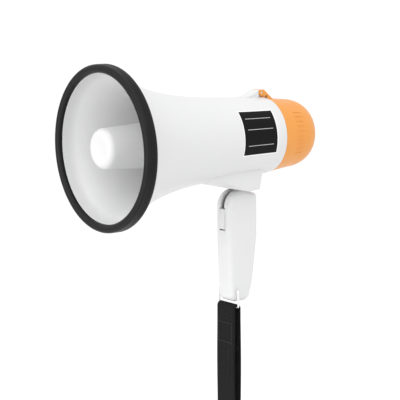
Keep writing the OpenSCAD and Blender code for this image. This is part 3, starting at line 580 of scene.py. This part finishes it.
def mouthBore(t):
    # eases the bore into the lip, so no crease shows inside the mouth
    start, span = horn["blendY"], horn["lipY"] + 0.6 - horn["blendY"]
    rise = (hornBore(start + 0.1) - hornBore(start - 0.1)) / 0.2
    radius = ((2 * t ** 3 - 3 * t ** 2 + 1) * hornBore(start) + (t ** 3 - 2 * t ** 2 + t) * rise * span
              + (3 * t ** 2 - 2 * t ** 3) * (horn["lipRadius"] - 0.1) + (t ** 3 - t ** 2) * horn["lipSlope"] * span)
    return radius, start + span * t


hornProfile = (
    [(horn["lipRadius"] + 0.5, horn["lipY"]), (horn["seatRadius"], horn["lipY"]),
     (horn["seatRadius"], flangeFront),
     (horn["flangeRadius"] - 0.25, flangeFront), (horn["flangeRadius"], flangeFront + 0.25),
     (horn["flangeRadius"], flangeBack - 0.3), (horn["flangeRadius"] - 0.3, flangeBack)]
    + [(hornOuter(y) + (0.5 if y == flangeBack else 0), y) for y in outerYs]
    + [(collarOuter, horn["length"]), (collarOuter, collarEnd), (collarInner, collarEnd), (collarInner, collarRoot)]
    + [(hornBore(y), y) for y in rearYs]
    + [(ledgeRadius, ledgeBack), (ledgeRadius, ledgeFront)]
    + [(hornBore(y), y) for y in boreYs]
    + [mouthBore(i / 14) for i in range(15)]
)
hornShell = turnedShape("hornShell", hornProfile, horn["sides"])
dress(hornShell, "white", "housing", "horn_shell")

hingeFin = {"width": 13, "knuckle": 4.6, "pinY": 28.4, "pinZ": 161.216, "lugRadius": 3.0, "rampLength": 17}
finY = hingeFin["pinY"] - hingeFin["lugRadius"] - 0.4
finTop = hingeFin["pinZ"] + hingeFin["lugRadius"]
bodyTop = lambda y: hornZ / mm + hornOuter(y - rimY / mm)
rampY = finY - hingeFin["rampLength"]
rampZ = bodyTop(rampY) + 0.05
ramp = [(rampY - 2, bodyTop(rampY - 2) - 0.9), (rampY, rampZ)]
for i in range(1, 13):
    t = i / 12
    ease = t ** 1.6
    ramp.append((rampY + (hingeFin["rampLength"] - 0.6) * t, rampZ + (finTop - rampZ) * ease))
ramp += [(finY, finTop), (finY, bodyTop(finY) - 1.2)]
rampPiece = softEdges(drawnSlab("hingeRamp", ramp, -hingeFin["width"] / 2, hingeFin["width"] / 2), 0.9, 40, 3)
dress(smoothBy(rampPiece, 40), "white", "housing", "horn_shell")
half = hingeFin["knuckle"] / 2
knuckle = [(finY - 1, finTop)]
for i in range(13):
    a = math.radians(90 - 15 * i)
    knuckle.append((hingeFin["pinY"] + hingeFin["lugRadius"] * math.cos(a),
                    hingeFin["pinZ"] + hingeFin["lugRadius"] * math.sin(a)))
knuckle = [p for p in knuckle if not (p[0] < hingeFin["pinY"] - 0.1 and p[1] < hingeFin["pinZ"])]
knuckle += [(hingeFin["pinY"] + 1.2, bodyTop(hingeFin["pinY"]) - 0.9), (finY - 1, bodyTop(finY) - 0.9)]
knucklePiece = softEdges(drawnSlab("hingeKnuckle", knuckle, -half, half), 0.25, 40)
dress(smoothBy(knucklePiece, 40), "white", "housing", "horn_shell")
print("horn done")

# rim ring with its fine ridges

ring = {"outer": 80, "inner": 71.85, "length": 11.4, "round": 2.6, "grooveDepth": 0.32,
        "sideGrooves": (4.3, 6.1, 7.9), "faceGrooves": (75.2, 76.7), "sides": 192}
ringProfile = [(ring["inner"], horn["lipY"])]
for i in range(0, 7):
    a = math.radians(15 * i)
    ringProfile.append((ring["inner"] + ring["round"] * (1 - math.cos(a)), ring["round"] * (1 - math.sin(a))))
for r in ring["faceGrooves"]:
    ringProfile += [(r - 0.3, 0), (r - 0.1, ring["grooveDepth"]), (r + 0.1, ring["grooveDepth"]), (r + 0.3, 0)]
for i in range(6, -1, -1):
    a = math.radians(15 * i)
    ringProfile.append((ring["outer"] - ring["round"] * (1 - math.cos(a)), ring["round"] * (1 - math.sin(a))))
for y in ring["sideGrooves"]:
    ringProfile += [(ring["outer"], y - 0.35), (ring["outer"] - ring["grooveDepth"], y - 0.1),
                    (ring["outer"] - ring["grooveDepth"], y + 0.1), (ring["outer"], y + 0.35)]
ringProfile += [(ring["outer"], 10.6), (ring["outer"] - 0.25, ring["length"] - 0.25),
                (ring["outer"] - 0.8, ring["length"]), (horn["seatRadius"], ring["length"]),
                (horn["seatRadius"], horn["lipY"])]
rimRing = turnedShape("rimRing", ringProfile, ring["sides"])
dress(smoothBy(rimRing, 40), "rubber", "housing", "rim_ring")

# reflector: rounded nose with a shallow dish, open at the back

bullet = {
    "radius": 19.6, "flare": 5.4, "length": 83.555, "edge": 6, "wall": 2,
    "dimple": 1.9, "start": 0.4, "sides": 128,
}


def bulletSkin(y):
    return bullet["radius"] + bullet["flare"] * (max(y, 0) / bullet["length"]) ** 1.4


noseRadius = bullet["radius"] - bullet["edge"]
bulletProfile = []
for i in range(13):
    r = noseRadius * i / 12
    bulletProfile.append((r, bullet["dimple"] * (1 - (i / 12) ** 2) ** 1.6))
for i in range(1, 11):
    a = math.radians(9 * i)
    bulletProfile.append((bulletSkin(bullet["edge"]) - bullet["edge"] * (1 - math.sin(a)),
                          bullet["edge"] * (1 - math.cos(a))))
for i in range(1, 21):
    y = bullet["edge"] + (bullet["length"] - bullet["edge"]) * i / 20
    bulletProfile.append((bulletSkin(y) - (0.25 if i == 20 else 0), y))
for i in range(20, 0, -2):
    y = bullet["edge"] + (bullet["length"] - bullet["edge"]) * i / 20
    bulletProfile.append((bulletSkin(y) - bullet["wall"], y))
bulletProfile += [(bullet["radius"] - 4, bullet["edge"] + 0.5), (noseRadius, 4),
                  (0, bullet["dimple"] + bullet["wall"] + 0.4)]
bulletProfile = [(r, y + bullet["start"]) for r, y in bulletProfile]
reflector = turnedShape("reflectorBullet", bulletProfile, bullet["sides"], closed=False)
dress(smoothBy(reflector, 50), "white", "housing", "reflector")
toneTube = smoothBy(tidyCopy("toneTube", "tone_tube"), 30)
dress(toneTube, "white", "housing", "tone_tube")
print("ring and reflector done")

# rating plate: a film bent round the barrel, blank but for its border and rules

plate = {"middle": 164, "cells": 40, "lift": 0.10, "film": 0.2}
plateLow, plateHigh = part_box("name_plate")
startFresh()
bpy.ops.mesh.primitive_grid_add(x_subdivisions=plate["cells"], y_subdivisions=plate["cells"], size=1)
label = bpy.context.object
label.name = "ratingLabel"
lowAngle = math.asin((plateLow.z - hornZ) / (hornOuter(plate["middle"]) * mm))
highAngle = math.asin((plateHigh.z - hornZ) / (hornOuter(plate["middle"]) * mm))
for v in label.data.vertices:
    y = plateLow.y + (plateHigh.y - plateLow.y) * (v.co.x + 0.5)
    a = lowAngle + (highAngle - lowAngle) * (v.co.y + 0.5)
    r = (hornOuter((y - rimY) / mm) + plate["lift"]) * mm
    v.co = (r * math.cos(a), y, hornZ + r * math.sin(a))
addModifier(label, "SOLIDIFY", thickness=plate["film"] * mm, offset=1.0)
settle(label, 40, outward=False)
label.data.materials.clear()
label.data.materials.append(labelFinish("labelFilm"))
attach(label, "housing")
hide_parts("name_plate")
print("label done")

# bracket, cap, grip and the small moulded parts: merged copies with softened edges

softened = {
    "saddleBracket": ("saddle_bracket", "white", "housing", 0.7, 38),
    "rearCap": ("rear_cap", "orange", "cap", 0.22, 45),
    "gripLeft": ("grip_left", "gripWhite", "grip", 0.0, 34),
    "gripRight": ("grip_right", "gripWhite", "grip", 0.0, 34),
    "triggerLever": ("trigger", "gripWhite", "trigger_lever", 0.35, 38),
    "volumeWheel": ("volume_wheel", "darkPlastic", "volume", 0.0, 34),
    "modeSlider": ("mode_slider", "darkPlastic", "mode", 0.15, 38),
    "micGrille": ("mic_grille", "darkPlastic", "cap", 0.12, 40),
}
for name, (node, finish, body, width, angle) in softened.items():
    piece = tidyCopy(name, node, flat=0.6 if width else 0)
    if width:
        softEdges(piece, width, angle)
    smoothBy(piece, angle)
    dress(piece, finish, body, node)
bail = smoothBy(tidyCopy("bailWire", "strap_bail", flat=0), 50)
dress(bail, "bailWire", "bail", "strap_bail")
print("moulded parts done")

# wrist strap: one band of webbing looped over the bail's bar

strap = {"width": 28, "thick": 1.6, "radius": 3.5, "across": 14, "along": 200, "sway": 0.5}
strapLow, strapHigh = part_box("wrist_strap")
middleY = (strapLow.y + strapHigh.y) / 2
topZ = strapHigh.z - (strap["radius"] + strap["thick"] / 2) * mm
bottomZ = strapLow.z + (strap["radius"] + strap["thick"] / 2) * mm
straight = (topZ - bottomZ) / mm
strapLength = 2 * straight + 2 * math.pi * strap["radius"]


def strapPoint(s):
    # place on the loop's middle line, s in mm from the front layer's lower end
    bend = math.pi * strap["radius"]
    r = strap["radius"]
    s = s % strapLength
    if s < straight:
        t = s / straight
        return middleY + (-r - strap["sway"] * math.sin(math.pi * t) ** 2) * mm, bottomZ + s * mm
    if s < straight + bend:
        a = (s - straight) / r
        return middleY - r * math.cos(a) * mm, topZ + r * math.sin(a) * mm
    if s < 2 * straight + bend:
        t = (s - straight - bend) / straight
        return middleY + (r + strap["sway"] * math.sin(math.pi * t) ** 2) * mm, topZ - (s - straight - bend) * mm
    a = (s - 2 * straight - bend) / r
    return middleY + r * math.cos(a) * mm, bottomZ - r * math.sin(a) * mm


startFresh()
bpy.ops.mesh.primitive_grid_add(x_subdivisions=strap["across"], y_subdivisions=strap["along"], size=1)
webbing = bpy.context.object
webbing.name = "wristStrap"
for v in webbing.data.vertices:
    y, z = strapPoint((v.co.y + 0.5) * strapLength * 0.999999)
    v.co = (v.co.x * strap["width"] * mm, y, z)
settle(webbing, 60)
addModifier(webbing, "SOLIDIFY", thickness=strap["thick"] * mm, offset=0.0)
softEdges(webbing, 0.45, 60)
settle(webbing, 50, outward=False)
webbing.data.materials.clear()
webbing.data.materials.append(webbingFinish("webbing", strapLength * mm))
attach(webbing, "strap")
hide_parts("wrist_strap")

stitch = {"radius": 0.28, "length": 2.3, "pitch": 3.3, "rows": (-10.5, 10.5), "count": 7, "top": 16,
          "gap": 0.15, "crossStart": -8.4, "crossPitch": 3.36, "crossCount": 6}
threads = []
for x in stitch["rows"]:
    for i in range(stitch["count"]):
        y, z = strapPoint(straight - stitch["top"] - i * stitch["pitch"])
        threads.append((x, y, z, 0))
for i in range(stitch["crossCount"]):
    for row in (0, stitch["count"] - 1):
        y, z = strapPoint(straight - stitch["top"] - row * stitch["pitch"])
        threads.append((stitch["crossStart"] + i * stitch["crossPitch"], y, z, 90))
startFresh()
bpy.ops.mesh.primitive_cylinder_add(vertices=8, radius=stitch["radius"] * mm, depth=stitch["length"] * mm)
model = bpy.context.object
softEdges(model, 0.2, 40)
copies = []
for x, y, z, tilt in threads:
    copy = model.copy()
    copy.data = model.data.copy()
    bpy.context.scene.collection.objects.link(copy)
    copy.location = (x * mm, y - (strap["thick"] / 2 + stitch["gap"]) * mm, z)
    copy.rotation_euler = (0, math.radians(tilt), 0)
    copies.append(copy)
startFresh()
for piece in [model, *copies]:
    piece.select_set(piece is not model)
bpy.context.view_layer.objects.active = copies[0]
bpy.ops.object.join()
stitching = bpy.context.object
stitching.name = "strapStitching"
bpy.data.objects.remove(model)
settle(stitching, 60)
stitching.data.materials.clear()
stitching.data.materials.append(mouldedPlastic("sewingThread", (0.03, 0.03, 0.032), 0.6, shift=0.2, grain=0.00006))
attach(stitching, "strap")
strapLength * mm
print("strap done")

# floor

startFresh()
bpy.ops.mesh.primitive_plane_add(size=studio["floorSize"], location=(0, 0, studio["floorHeight"]))
floor = bpy.context.object
floor.name = "studioFloor"
floorFinish = Finish("paleFloor", Roughness=0.9, Specular_IOR_Level=0.1)
floorFinish.shader.inputs["Base Color"].default_value = studio["floorColour"]
floor.data.materials.append(floorFinish.material)
